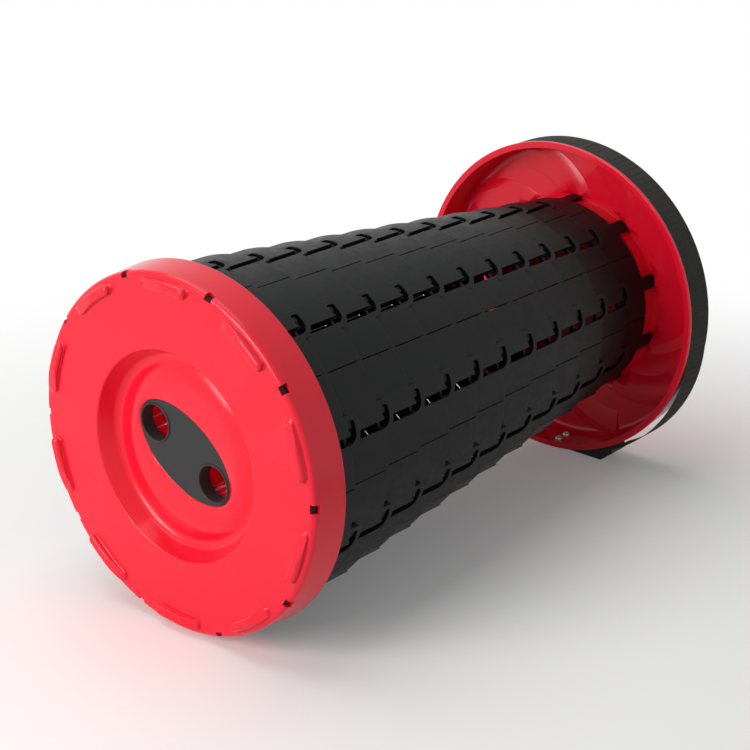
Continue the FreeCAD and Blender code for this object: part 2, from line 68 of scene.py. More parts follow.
# The camera stands above the lying stool's base end; +Y is up in the picture
CAMERA_PLACE = Vector((-0.7560, 0.4451, -0.6882))
CAMERA_VIEW = Vector((0.6053, -0.3576, 0.7111)).normalized()
CAMERA_LENS = 85.03
STAGE_UP = Vector((0, 1, 0))
STAGE_RIGHT = CAMERA_VIEW.cross(STAGE_UP).normalized()
STAGE_BACK = STAGE_UP.cross(STAGE_RIGHT)
STOOL_MIDDLE = Vector((0, 0, 0.225))
FADE_CENTRE = Vector((-0.15, 0.0, 0.12))


class StoolFinishes(bpy.types.PropertyGroup):
    """Colours of the stool's materials, as sRGB hex values."""

    shell_red: bpy.props.StringProperty(
        name="Shell red", description="Red of the base and the seat", default="#EC1230")
    shell_shade: bpy.props.StringProperty(
        name="Shell shade", description="Slightly deeper red where the melt cooled last", default="#E8112D")
    ring_black: bpy.props.StringProperty(
        name="Ring black", description="Black of the rings", default="#0E0F0F")
    # The edges of the rings, pegs, finger plate and anchor are painted this paler grey as a highlight.
    ring_edge_highlight: bpy.props.StringProperty(
        name="Ring edge highlight", description="Paler grey painted along the edges as a highlight", default="#2C2E2E")
    plate_black: bpy.props.StringProperty(
        name="Plate black", description="Black of the finger plate and the anchor", default="#343535")
    webbing_black: bpy.props.StringProperty(
        name="Webbing black", description="Black of the strap's yarn", default="#413F3A")
    # The dark between the webbing's ribs is painted shade.
    webbing_gap_shade: bpy.props.StringProperty(
        name="Webbing gap", description="Painted shade between the strap's ribs", default="#171614")
    screw_grey: bpy.props.StringProperty(
        name="Screw grey", description="Colour of the plated screws", default="#C9C7C0")
    floor_grey: bpy.props.StringProperty(
        name="Floor", description="Pale floor under the stool", default="#EDEDEC")


class StoolSizes(bpy.types.PropertyGroup):
    """Sizes of the modelled pieces and of the patterns on the surfaces."""

    strap_width: bpy.props.FloatProperty(
        name="Strap width", description="Width of the webbing", default=25.0 * MM, unit="LENGTH")
    strap_thick: bpy.props.FloatProperty(
        name="Strap thickness", description="Thickness of the webbing", default=1.6 * MM, unit="LENGTH")
    strap_rib: bpy.props.FloatProperty(
        name="Strap rib", description="Length of strap that one cross rib takes",
        default=1.6 * MM, unit="LENGTH")
    strap_rib_rise: bpy.props.FloatProperty(
        name="Strap rib rise", description="Height of a cross rib", default=0.12 * MM, unit="LENGTH")
    strap_begin: bpy.props.FloatProperty(
        name="Strap begins", description="Angle of the strap's end at the anchor's thin side",
        default=math.radians(-82.8), subtype="ANGLE")
    strap_leaves: bpy.props.FloatProperty(
        name="Strap leaves", description="Angle where the strap stands off the skirt",
        default=math.radians(188.8), subtype="ANGLE")
    strap_meets: bpy.props.FloatProperty(
        name="Strap meets", description="Angle of the strap's end at the anchor's thick side",
        default=math.radians(241.8), subtype="ANGLE")
    strap_bulge: bpy.props.FloatProperty(
        name="Strap bulge", description="Standing off of the strap halfway along its slack",
        default=4.0 * MM, unit="LENGTH")
    strap_slack: bpy.props.FloatProperty(
        name="Strap slack", description="Standing off of the strap at the anchor",
        default=3.9 * MM, unit="LENGTH")
    peg_radius: bpy.props.FloatProperty(
        name="Peg radius", description="Radius of a peg's face", default=2.3 * MM, unit="LENGTH")
    peg_height: bpy.props.FloatProperty(
        name="Peg height", description="Peg centre above its ring's bottom edge",
        default=5.0 * MM, unit="LENGTH")
    peg_offset: bpy.props.FloatProperty(
        name="Peg offset", description="Peg centre beside its row's middle", default=2.2 * MM, unit="LENGTH")
    screw_turn: bpy.props.FloatProperty(
        name="Screw angle", description="Angle of the strap screws round the seat",
        default=math.radians(-93.5), subtype="ANGLE")
    screw_radius: bpy.props.FloatProperty(
        name="Screw radius", description="Radius of a screw's head", default=3.1 * MM, unit="LENGTH")
    screw_head: bpy.props.FloatProperty(
        name="Screw head", description="Height of a screw's head", default=1.8 * MM, unit="LENGTH")
    recess_radius: bpy.props.FloatProperty(
        name="Recess radius", description="Radius of the recess in the base's face",
        default=70.5 * MM, unit="LENGTH")
    recess_depth: bpy.props.FloatProperty(
        name="Recess depth", description="Depth of the dome's flat top", default=10.5 * MM, unit="LENGTH")
    recess_edge: bpy.props.FloatProperty(
        name="Recess edge", description="Rounding of the recess's edge", default=1.6 * MM, unit="LENGTH")
    dome_inset: bpy.props.FloatProperty(
        name="Dome inset", description="From the recess's edge to where the dome turns down",
        default=19.5 * MM, unit="LENGTH")
    dome_round: bpy.props.FloatProperty(
        name="Dome rounding", description="Rounding of the dome's shoulder", default=34.0 * MM, unit="LENGTH")
    groove_inset: bpy.props.FloatProperty(
        name="Groove inset", description="From the recess's edge to the groove's corner",
        default=6.5 * MM, unit="LENGTH")
    groove_depth: bpy.props.FloatProperty(
        name="Groove depth", description="Depth of the groove's corner before it is rounded",
        default=16.0 * MM, unit="LENGTH")
    groove_round: bpy.props.FloatProperty(
        name="Groove rounding", description="Rounding of the groove's bottom",
        default=6.0 * MM, unit="LENGTH")
    base_wall: bpy.props.FloatProperty(
        name="Base wall", description="Thickness of the base's wall", default=2.4 * MM, unit="LENGTH")
    rib_outer: bpy.props.FloatProperty(
        name="Rib outer end", description="Radius of a rib's outer end", default=119.2 * MM, unit="LENGTH")
    rib_inner: bpy.props.FloatProperty(
        name="Rib inner end", description="Radius of a rib's inner end", default=74.8 * MM, unit="LENGTH")
    rib_phase: bpy.props.FloatProperty(
        name="Rib phase", description="Angle of the first rib's middle",
        default=math.radians(12.3), subtype="ANGLE")
    rib_outer_turn: bpy.props.FloatProperty(
        name="Rib outer turn", description="Angle from a rib's middle to its outer end",
        default=math.radians(-18.4), subtype="ANGLE")
    rib_inner_turn: bpy.props.FloatProperty(
        name="Rib inner turn", description="Angle from a rib's middle to its inner end",
        default=math.radians(11.2), subtype="ANGLE")
    rib_stop_inner: bpy.props.FloatProperty(
        name="Rib stop inside", description="Radius where the ribs stop at the column",
        default=79.3 * MM, unit="LENGTH")
    rib_stop_outer: bpy.props.FloatProperty(
        name="Rib stop outside", description="Radius where the ribs stop in the skirt's wall",
        default=121.6 * MM, unit="LENGTH")
    rib_rise: bpy.props.FloatProperty(
        name="Rib rise", description="Height of the ribs under the seat", default=2.2 * MM, unit="LENGTH")
    rib_flank: bpy.props.FloatProperty(
        name="Rib flank", description="Width of a rib's short side", default=8.0 * MM, unit="LENGTH")
    rib_crest: bpy.props.FloatProperty(
        name="Rib crest", description="Width of a rib's flat crest", default=1.5 * MM, unit="LENGTH")
    rib_ramp: bpy.props.FloatProperty(
        name="Rib ramp", description="Width of a rib's long side", default=15.0 * MM, unit="LENGTH")
    moulding_grain: bpy.props.FloatProperty(
        name="Moulding grain", description="Grain of the spark-eroded mould", default=0.7 * MM, unit="LENGTH")
    edge_round: bpy.props.FloatProperty(
        name="Edge rounding", description="Rounding that a moulded edge shows",
        default=0.6 * MM, unit="LENGTH")


def linear(hex_colour):
    """A sRGB hex value as a linear colour with alpha."""
    out = []
    for i in (1, 3, 5):
        value = int(hex_colour[i:i + 2], 16) / 255
        out.append(value / 12.92 if value <= 0.04045 else ((value + 0.055) / 1.055) ** 2.4)
    return (*out, 1.0)


def add(tree, kind, inputs, **settings):
    """Adds a node with its settings, and gives each named input a value or a link."""
    node = tree.nodes.new(kind)
    for name, value in settings.items():
        setattr(node, name, value)
    for key, value in inputs.items():
        if isinstance(value, bpy.types.NodeSocket):
            tree.links.new(value, node.inputs[key])
        else:
            node.inputs[key].default_value = value
    return node


def new_material(name):
    """An empty material and its node tree."""
    material = bpy.data.materials.new(name)
    material.use_nodes = True
    material.node_tree.nodes.clear()
    return material, material.node_tree


def output(tree, shader):
    """Joins a shader to the material's surface."""
    add(tree, "ShaderNodeOutputMaterial", {"Surface": shader.outputs[0]})


def paint(obj, material):
    """Gives the whole of an object one material."""
    obj.data.materials.clear()
    obj.data.materials.append(material)


def moulded_normal(tree, coords, sizes, rise):
    """Rounded edges and mould grain as one normal, and where the edges are."""
    rounded = add(tree, "ShaderNodeBevel", {"Radius": sizes.edge_round}, samples=4)
    grain = add(tree, "ShaderNodeTexNoise", {
        "Vector": coords, "Scale": 1 / sizes.moulding_grain, "Detail": 3.0})
    bump = add(tree, "ShaderNodeBump", {
        "Strength": 1.0, "Distance": rise, "Height": grain.outputs["Fac"], "Normal": rounded.outputs[0]})
    flat = add(tree, "ShaderNodeNewGeometry", {})
    lean = add(tree, "ShaderNodeVectorMath", {
        0: rounded.outputs[0], 1: flat.outputs["Normal"]}, operation="DOT_PRODUCT")
    edge = add(tree, "ShaderNodeMapRange", {"Value": lean.outputs["Value"], 1: 0.99, 2: 0.86, 3: 0.0, 4: 1.0})
    return bump.outputs[0], edge.outputs[0]


def red_polypropylene():
    """Injection-moulded polypropylene from a polished mould: glossy, with soft flow patches."""
    looks, sizes = bpy.context.scene.stool_finishes, bpy.context.scene.stool_sizes
    material, tree = new_material("red_moulded_polypropylene")
    coords = add(tree, "ShaderNodeTexCoord", {}).outputs["Object"]
    normal, _ = moulded_normal(tree, coords, sizes, 0.0012 * MM)
    flow = add(tree, "ShaderNodeTexNoise", {"Vector": coords, "Scale": 1 / (90 * MM), "Detail": 1.0})
    colour = add(tree, "ShaderNodeMix", {
        "Factor": flow.outputs["Fac"], 6: linear(looks.shell_red), 7: linear(looks.shell_shade),
    }, data_type="RGBA")
    rub = add(tree, "ShaderNodeTexNoise", {"Vector": coords, "Scale": 1 / (40 * MM), "Detail": 2.0})
    rough = add(tree, "ShaderNodeMapRange", {"Value": rub.outputs["Fac"], 1: 0.3, 2: 0.7, 3: 0.15, 4: 0.19})
    shader = add(tree, "ShaderNodeBsdfPrincipled", {
        "Base Color": colour.outputs[2], "Roughness": rough.outputs[0], "IOR": 1.49,
        "Specular IOR Level": 0.35, "Normal": normal})
    output(tree, shader)
    return material


def black_polypropylene(name, colour_hex, edge_highlight_hex, rough_low, rough_high):
    """Moulded polypropylene from an eroded mould: satin, with a paler grey highlight painted along its edges.
    """
    sizes = bpy.context.scene.stool_sizes
    material, tree = new_material(name)
    coords = add(tree, "ShaderNodeTexCoord", {}).outputs["Object"]
    normal, edge = moulded_normal(tree, coords, sizes, 0.012 * MM)
    rub = add(tree, "ShaderNodeTexNoise", {"Vector": coords, "Scale": 1 / (6 * MM), "Detail": 4.0})
    # The edges get the paler grey in patches: a painted highlight.
    edge_highlight = add(tree, "ShaderNodeMath", {0: edge, 1: rub.outputs["Fac"]}, operation="MULTIPLY")
    colour = add(tree, "ShaderNodeMix", {
        "Factor": edge_highlight.outputs[0], 6: linear(colour_hex), 7: linear(edge_highlight_hex)}, data_type="RGBA")
    rough = add(tree, "ShaderNodeMapRange", {
        "Value": rub.outputs["Fac"], 1: 0.3, 2: 0.7, 3: rough_low, 4: rough_high})
    shader = add(tree, "ShaderNodeBsdfPrincipled", {
        "Base Color": colour.outputs[2], "Roughness": rough.outputs[0], "IOR": 1.49,
        "Specular IOR Level": 0.17, "Normal": normal})
    output(tree, shader)
    return material


def woven_webbing():
    """Woven polypropylene webbing: dull yarn in cross ribs, with painted shade between them."""
    looks, sizes = bpy.context.scene.stool_finishes, bpy.context.scene.stool_sizes
    material, tree = new_material("woven_polypropylene_webbing")
    along = add(tree, "ShaderNodeAttribute", {}, attribute_name="along").outputs["Fac"]
    across = add(tree, "ShaderNodeAttribute", {}, attribute_name="across").outputs["Fac"]
    turn = add(tree, "ShaderNodeMath", {0: along, 1: 2 * math.pi / sizes.strap_rib}, operation="MULTIPLY")
    rib = add(tree, "ShaderNodeMath", {0: turn.outputs[0]}, operation="COSINE")
    # Yarns across the width, 1 mm apart, each a little off its neighbour's phase
    yarn = add(tree, "ShaderNodeMath", {0: across, 1: 2 * math.pi / (1.0 * MM)}, operation="MULTIPLY")
    weave = add(tree, "ShaderNodeMath", {0: yarn.outputs[0]}, operation="SINE")
    height = add(tree, "ShaderNodeMath", {
        0: weave.outputs[0], 1: 0.35, 2: rib.outputs[0]}, operation="MULTIPLY_ADD")
    # The yarn is painted darker toward the valleys between ribs, as shade.
    share = add(tree, "ShaderNodeMapRange", {"Value": height.outputs[0], 1: -1.2, 2: 0.9, 3: 0.0, 4: 1.0})
    colour = add(tree, "ShaderNodeMix", {
        "Factor": share.outputs[0], 6: linear(looks.webbing_gap_shade), 7: linear(looks.webbing_black),
    }, data_type="RGBA")
    bump = add(tree, "ShaderNodeBump", {"Strength": 0.8, "Distance": 0.1 * MM, "Height": height.outputs[0]})
    shader = add(tree, "ShaderNodeBsdfPrincipled", {
        "Base Color": colour.outputs[2], "Roughness": 0.78, "IOR": 1.49, "Sheen Weight": 0.15,
        "Sheen Roughness": 0.5, "Normal": bump.outputs[0]})
    output(tree, shader)
    return material


def plated_steel():
    """Zinc-plated steel: bright metal with a faint turned grain."""
    looks = bpy.context.scene.stool_finishes
    material, tree = new_material("zinc_plated_steel")
    coords = add(tree, "ShaderNodeTexCoord", {}).outputs["Object"]
    grain = add(tree, "ShaderNodeTexNoise", {"Vector": coords, "Scale": 1 / (0.8 * MM), "Detail": 3.0})
    rough = add(tree, "ShaderNodeMapRange", {"Value": grain.outputs["Fac"], 1: 0.3, 2: 0.7, 3: 0.25, 4: 0.42})
    shader = add(tree, "ShaderNodeBsdfPrincipled", {
        "Base Color": linear(looks.screw_grey), "Metallic": 1.0, "Roughness": rough.outputs[0]})
    output(tree, shader)
    return material


def peg_plastic():
    """The rings' plastic on a peg's face, with the mould's fine parallel ribs and a painted highlight on its
    edges.
    """
    looks, sizes = bpy.context.scene.stool_finishes, bpy.context.scene.stool_sizes
    material, tree = new_material("ribbed_peg_polypropylene")
    coords = add(tree, "ShaderNodeTexCoord", {}).outputs["Object"]
    place = add(tree, "ShaderNodeSeparateXYZ", {0: coords})
    # Ribs 1 mm apart, as coarse as the picture can show
    turn = add(tree, "ShaderNodeMath", {
        0: place.outputs["Z"], 1: 2 * math.pi / (1.0 * MM)}, operation="MULTIPLY")
    rib = add(tree, "ShaderNodeMath", {0: turn.outputs[0]}, operation="SINE")
    normal, edge = moulded_normal(tree, coords, sizes, 0.01 * MM)
    bump = add(tree, "ShaderNodeBump", {
        "Strength": 0.6, "Distance": 0.08 * MM, "Height": rib.outputs[0], "Normal": normal})
    # The face's edges are painted the paler grey as a highlight.
    colour = add(tree, "ShaderNodeMix", {
        "Factor": edge, 6: linear(looks.ring_black), 7: linear(looks.ring_edge_highlight)}, data_type="RGBA")
    shader = add(tree, "ShaderNodeBsdfPrincipled", {
        "Base Color": colour.outputs[2], "Roughness": 0.36, "IOR": 1.49,
        "Specular IOR Level": 0.17, "Normal": bump.outputs[0]})
    output(tree, shader)
    return material


def seen_directly(tree):
    """1 for the rays that show the background: to the camera, off gloss and through glass."""
    path = add(tree, "ShaderNodeLightPath", {})
    either = add(tree, "ShaderNodeMath", {
        0: path.outputs["Is Camera Ray"], 1: path.outputs["Is Glossy Ray"]}, operation="MAXIMUM")
    shown = add(tree, "ShaderNodeMath", {
        0: either.outputs[0], 1: path.outputs["Is Transmission Ray"]}, operation="MAXIMUM")
    return shown.outputs[0]


def start_mesh(adder, **settings):
    """Adds a primitive with nothing else selected and opens it in edit mode."""
    if bpy.context.object and bpy.context.object.mode != "OBJECT":
        bpy.ops.object.mode_set(mode="OBJECT")
    bpy.ops.object.select_all(action="DESELECT")
    adder(**settings)
    bpy.ops.object.transform_apply(location=True, rotation=True, scale=True)
    bpy.ops.object.mode_set(mode="EDIT")
    bpy.ops.mesh.select_mode(type="VERT")
    bpy.ops.mesh.select_all(action="SELECT")
    return bpy.context.object


def end_mesh(name):
    """Closes edit mode with normals outward and returns the named object."""
    bpy.ops.mesh.select_all(action="SELECT")
    bpy.ops.mesh.normals_make_consistent(inside=False)
    bpy.ops.object.mode_set(mode="OBJECT")
    obj = bpy.context.object
    obj.name = name
    obj.data.name = name
    bpy.ops.object.shade_smooth_by_angle(angle=math.radians(35))
    return obj


def select_faces(wanted):
    """Selects the faces of the mesh in edit mode that a test picks."""
    bpy.ops.mesh.select_mode(type="FACE")
    bpy.ops.mesh.select_all(action="DESELECT")
    bpy.ops.object.mode_set(mode="OBJECT")
    for face in bpy.context.object.data.polygons:
        face.select = wanted(face)
    bpy.ops.object.mode_set(mode="EDIT")


def polar(radius, angle, height):
    """Point at a radius and an angle round the column."""
    return Vector((radius * math.cos(angle), radius * math.sin(angle), height))


def circle_through(a, b, c):
    """Centre of the circle through three points at one height."""
    d = 2 * (a.x * (b.y - c.y) + b.x * (c.y - a.y) + c.x * (a.y - b.y))
    squares = [p.x ** 2 + p.y ** 2 for p in (a, b, c)]
    x = (squares[0] * (b.y - c.y) + squares[1] * (c.y - a.y) + squares[2] * (a.y - b.y)) / d
    y = (squares[0] * (c.x - b.x) + squares[1] * (a.x - c.x) + squares[2] * (b.x - a.x)) / d
    return Vector((x, y, a.z))


def rounded(corners, flats=10):
    """Points along a line whose corners, as across, down and radius, are rounded."""
    points = []
    for i, (across, down, radius) in enumerate(corners):
        here = Vector((across, down))
        if not radius:
            points.append(here)
            continue
        back = (Vector(corners[i - 1][:2]) - here).normalized()
        ahead = (Vector(corners[i + 1][:2]) - here).normalized()
        half = back.angle(ahead) / 2
        run = radius / math.tan(half)
        centre = here + (back + ahead).normalized() * (radius / math.sin(half))
        first, last = here + back * run - centre, here + ahead * run - centre
        begin = math.atan2(first.y, first.x)
        turn = math.remainder(math.atan2(last.y, last.x) - begin, 2 * math.pi)
        for step in range(flats + 1):
            angle = begin + turn * step / flats
            points.append(centre + radius * Vector((math.cos(angle), math.sin(angle))))
    return points


def turned(name, points, steps=180):
    """A closed outline of radius and height points, turned about the column."""
    start_mesh(bpy.ops.mesh.primitive_circle_add, vertices=len(points))
    bpy.ops.object.mode_set(mode="OBJECT")
    for vertex, point in zip(bpy.context.object.data.vertices, points):
        vertex.co = (point.x, 0, point.y)
    bpy.ops.object.mode_set(mode="EDIT")
    bpy.ops.mesh.select_all(action="SELECT")
    bpy.ops.mesh.spin(steps=steps, angle=2 * math.pi, center=(0, 0, 0), axis=(0, 0, 1))
    bpy.ops.mesh.select_all(action="SELECT")
    bpy.ops.mesh.remove_doubles(threshold=0.001 * MM)
    return end_mesh(name)


def combine(target, tool, operation):
    """Joins a solid to another or cuts it from it, and removes the tool."""
    bpy.ops.object.select_all(action="DESELECT")
    target.select_set(True)
    bpy.context.view_layer.objects.active = target
    change = target.modifiers.new(tool.name, "BOOLEAN")
    change.object = tool
    change.operation = operation
    bpy.ops.object.modifier_apply(modifier=change.name)
    bpy.data.objects.remove(tool)


def keep_flats_flat(obj):
    """Lets the large faces set the normals where they meet small rounded ones."""
    even = obj.modifiers.new("even", "WEIGHTED_NORMAL")
    even.keep_sharp = True
    bpy.ops.object.modifier_apply(modifier=even.name)


def write_attribute(obj, name, values):
    """Stores one number for each vertex."""
    layer = obj.data.attributes.new(name, "FLOAT", "POINT")
    layer.data.foreach_set("value", values)


class STOOL_OT_red_shells(bpy.types.Operator):
    """Finish the base and the seat in red moulded plastic"""

    bl_idname = "stool.red_shells"
    bl_label = "Red shells"

    def execute(self, context):
        material = red_polypropylene()
        for node in ("base_shell", "seat_shell"):
            paint(frame["nodes"][node], material)
        return {"FINISHED"}


class STOOL_OT_domed_base(bpy.types.Operator):
    """Model the base with the dome in its recess and the groove round it"""

    bl_idname = "stool.domed_base"
    bl_label = "Domed base"

    def execute(self, context):
        sizes = context.scene.stool_sizes
        node = frame["nodes"]["base_shell"]
        bpy.ops.object.select_all(action="DESELECT")
        base = node.copy()
        base.data = node.data.copy()
        context.scene.collection.objects.link(base)
        base.select_set(True)
        context.view_layer.objects.active = base
        bpy.ops.object.mode_set(mode="EDIT")
        bpy.ops.mesh.select_all(action="SELECT")
        bpy.ops.mesh.remove_doubles(threshold=0.001 * MM)
        bpy.ops.object.mode_set(mode="OBJECT")
        combine(base, turned("recess_back", self.back(sizes)), "UNION")
        combine(base, turned("recess_front", self.front(sizes)), "DIFFERENCE")
        bpy.ops.object.mode_set(mode="EDIT")
        base = end_mesh("domed_base")
        keep_flats_flat(base)
        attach(base, BODY_OF["base_shell"])
        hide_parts("base_shell")
        return {"FINISHED"}

    def front(self, sizes):
        """Outline of the hollow in front of the dome, the groove and the recess's wall."""
        edge, face = sizes.recess_radius, FACE_Z
        flat = face + sizes.recess_depth
        # The two ends run out just in front of the flat floor and the face
        clear, past = 0.1 * MM, 1 * MM
        inside, outside = edge - sizes.dome_inset - 10 * MM, edge + 3.5 * MM
        return rounded([
            (inside, flat - clear, 0),
            (edge - sizes.dome_inset, flat, sizes.dome_round),
            (edge - sizes.groove_inset, face + sizes.groove_depth, sizes.groove_round),
            (edge, face, sizes.recess_edge),
            (outside, face - clear, 0),
            (outside, face - past, 0),
            (inside, face - past, 0),
        ])

    def back(self, sizes):
        """Outline of the wall behind the dome's shoulder and the groove."""
        edge, face, wall = sizes.recess_radius, FACE_Z, sizes.base_wall
        flat = face + sizes.recess_depth
        shoulder = edge - sizes.dome_inset
        # Its inner and outer ends lie within the base's own wall
        return rounded([
            (shoulder - 5.0 * MM, flat + 1.5 * MM, 0),
            (shoulder - 5.0 * MM, flat + 3.0 * MM, 0),
            (shoulder + 1.0 * MM, flat + 4.3 * MM, 0),
            (edge - sizes.groove_inset + wall / 2, face + sizes.groove_depth + wall, sizes.groove_round),
            (edge + 1.9 * MM, face + 2.2 * MM, 0),
            (edge + 0.5 * MM, face + 1.2 * MM, 0),
            (shoulder + 9.0 * MM, face + 8.0 * MM, 0),
        ])


class STOOL_OT_seat_ribs(bpy.types.Operator):
    """Model the ten curved ribs under the seat, each with a long and a short side"""

    bl_idname = "stool.seat_ribs"
    bl_label = "Seat ribs"

    def execute(self, context):
        sizes = context.scene.stool_sizes
        height = SEAT_UNDER_Z - sizes.rib_rise
        turn = sizes.rib_phase
        first = polar(sizes.rib_outer, turn + sizes.rib_outer_turn, height)
        middle = polar((sizes.rib_outer + sizes.rib_inner) / 2, turn, height)
        last = polar(sizes.rib_inner, turn + sizes.rib_inner_turn, height)
        centre = circle_through(first, middle, last)
        begin, end = first - centre, last - centre
        sweep = math.atan2(begin.cross(end).z, begin.dot(end))
        across, up = begin.normalized(), Vector((0, 0, 1))
        crest = first - across * sizes.rib_crest
        ramp = crest - across * sizes.rib_ramp + up * sizes.rib_rise
        flank = first + across * sizes.rib_flank + up * sizes.rib_rise
        sunk = up * 0.5 * MM
        corners = (ramp, crest, first, flank, flank + sunk, ramp + sunk)
        start_mesh(bpy.ops.mesh.primitive_circle_add, vertices=len(corners), fill_type="NGON")
        bpy.ops.object.mode_set(mode="OBJECT")
        for vertex, corner in zip(bpy.context.object.data.vertices, corners):
            vertex.co = corner
        bpy.ops.object.mode_set(mode="EDIT")
        bpy.ops.mesh.select_all(action="SELECT")
        # The spin tool turns clockwise for a positive angle
        bpy.ops.mesh.spin(steps=30, angle=-sweep, center=centre, axis=(0, 0, 1))
        bpy.ops.mesh.select_all(action="SELECT")
        whole = 2 * math.pi * (ROW_COUNT - 1) / ROW_COUNT
        bpy.ops.mesh.spin(steps=ROW_COUNT - 1, dupli=True, angle=whole, center=(0, 0, 0), axis=(0, 0, 1))
        ribs = end_mesh("seat_ribs")
        low, high = height - 1 * MM, SEAT_UNDER_Z + 1 * MM
        near, far = sizes.rib_stop_inner, sizes.rib_stop_outer
        zone = [Vector(p) for p in ((near, low), (far, low), (far, high), (near, high))]
        combine(ribs, turned("zone", zone), "INTERSECT")
        paint(ribs, frame["nodes"]["seat_shell"].data.materials[0])
        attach(ribs, BODY_OF["seat_shell"])
        return {"FINISHED"}


class STOOL_OT_rings(bpy.types.Operator):
    """Finish the column's rings in black moulded plastic"""

    bl_idname = "stool.rings"
    bl_label = "Rings"

    def execute(self, context):
        looks = context.scene.stool_finishes
        material = black_polypropylene(
            "black_moulded_polypropylene", looks.ring_black, looks.ring_edge_highlight, 0.36, 0.5)
        for node in RINGS:
            paint(frame["nodes"][node], material)
        return {"FINISHED"}


class STOOL_OT_peg_faces(bpy.types.Operator):
    """Model the round ribbed face on every peg"""

    bl_idname = "stool.peg_faces"
    bl_label = "Peg faces"

    def execute(self, context):
        sizes = context.scene.stool_sizes
        material = peg_plastic()
        for ring in PEGGED_RINGS:
            low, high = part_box(ring)
            place = (sizes.peg_offset, high.y - 0.2 * MM, low.z + sizes.peg_height)
            start_mesh(bpy.ops.mesh.primitive_cylinder_add, vertices=24, radius=sizes.peg_radius,
                       depth=0.6 * MM, location=place, rotation=(math.radians(90), 0, 0))
            select_faces(lambda face: face.normal.y > 0.9)
            bpy.ops.mesh.bevel(offset=0.3 * MM, segments=2, affect="EDGES")
            bpy.ops.mesh.select_all(action="SELECT")
            sweep = 2 * math.pi * (ROW_COUNT - 1) / ROW_COUNT
            bpy.ops.mesh.spin(steps=ROW_COUNT - 1, dupli=True, angle=sweep, center=(0, 0, 0), axis=(0, 0, 1))
            faces = end_mesh(ring + "_peg_faces")
            paint(faces, material)
            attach(faces, BODY_OF[ring])
        return {"FINISHED"}


class STOOL_OT_finger_plate(bpy.types.Operator):
    """Finish the finger plate and the strap's anchor in black moulded plastic"""

    bl_idname = "stool.finger_plate"
    bl_label = "Finger plate and anchor"

    def execute(self, context):
        looks = context.scene.stool_finishes
        material = black_polypropylene("satin_black_abs", looks.plate_black, looks.ring_edge_highlight, 0.3, 0.42)
        for node in ("finger_plate", "strap_anchor"):
            paint(frame["nodes"][node], material)
        return {"FINISHED"}


class STOOL_OT_carry_strap(bpy.types.Operator):
    """Model the ribbed webbing round the seat's skirt"""

    bl_idname = "stool.carry_strap"
    bl_label = "Carry strap"

    def execute(self, context):
        sizes = context.scene.stool_sizes
        width = sizes.strap_width
        middle_z = STRAP_LOW.z + width / 2
        middle_r = STRAP_HIGH.x - sizes.strap_thick / 2
        begin, leaves, meets = sizes.strap_begin, sizes.strap_leaves, sizes.strap_meets
        start_mesh(bpy.ops.mesh.primitive_plane_add, size=1, location=polar(middle_r, begin, middle_z),
                   rotation=(math.radians(90), 0, begin))
        strap = bpy.context.object
        bpy.ops.object.mode_set(mode="OBJECT")
        for vertex in strap.data.vertices:
            side = 1 if Vector((vertex.co.x, vertex.co.y)).length > middle_r else -1
            rise = 1 if vertex.co.z > middle_z else -1
            vertex.co = polar(middle_r + side * sizes.strap_thick / 2, begin, middle_z + rise * width / 2)
        bpy.ops.object.mode_set(mode="EDIT")
        bpy.ops.mesh.select_all(action="SELECT")
        bpy.ops.mesh.bevel(offset=0.45 * sizes.strap_thick, segments=3, affect="VERTICES")
        bpy.ops.mesh.select_all(action="SELECT")
        bpy.ops.mesh.delete(type="ONLY_FACE")
        bpy.ops.mesh.select_all(action="SELECT")
        ribs = round(middle_r * (leaves - begin) / sizes.strap_rib)
        bpy.ops.mesh.spin(steps=4 * ribs, angle=begin - leaves, center=(0, 0, 0), axis=(0, 0, 1))
        slack = [
            polar(middle_r, leaves, middle_z),
            polar(middle_r + sizes.strap_bulge, (leaves + meets) / 2, middle_z),
            polar(middle_r + sizes.strap_slack, meets, middle_z),
        ]
        centre = circle_through(*slack)
        first, last = slack[0] - centre, slack[2] - centre
        sweep = math.atan2(first.cross(last).z, first.dot(last))
        ribs = round(first.length * abs(sweep) / sizes.strap_rib)
        bpy.ops.mesh.spin(steps=4 * ribs, angle=-sweep, center=centre, axis=(0, 0, 1))
        bpy.ops.mesh.edge_face_add()
        bpy.ops.object.mode_set(mode="OBJECT")
        for vertex in strap.data.vertices:
            off = vertex.co - polar(middle_r, begin, vertex.co.z)
            ahead = abs(off.dot(polar(1, begin + math.pi / 2, 0)))
            vertex.select = off.length < sizes.strap_thick and ahead < 0.1 * sizes.strap_rib
        bpy.ops.object.mode_set(mode="EDIT")
        bpy.ops.mesh.edge_face_add()
        strap = end_mesh("strap_webbing")
        along, across = [], []
        for vertex in strap.data.vertices:
            angle = math.atan2(vertex.co.y, vertex.co.x)
            angle += 2 * math.pi if angle < begin - 0.02 else 0
            along.append(middle_r * (angle - begin))
            across.append(vertex.co.z - STRAP_LOW.z)
            inside = 1 - abs(vertex.co.z - middle_z) / (width / 2)
            wave = math.cos(2 * math.pi * along[-1] / sizes.strap_rib) if inside > 0.02 else 0
            vertex.co += polar(sizes.strap_rib_rise * (wave - 1), angle, 0)
        write_attribute(strap, "along", along)
        write_attribute(strap, "across", across)
        paint(strap, woven_webbing())
        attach(strap, "top")
        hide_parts("carry_strap")
        return {"FINISHED"}


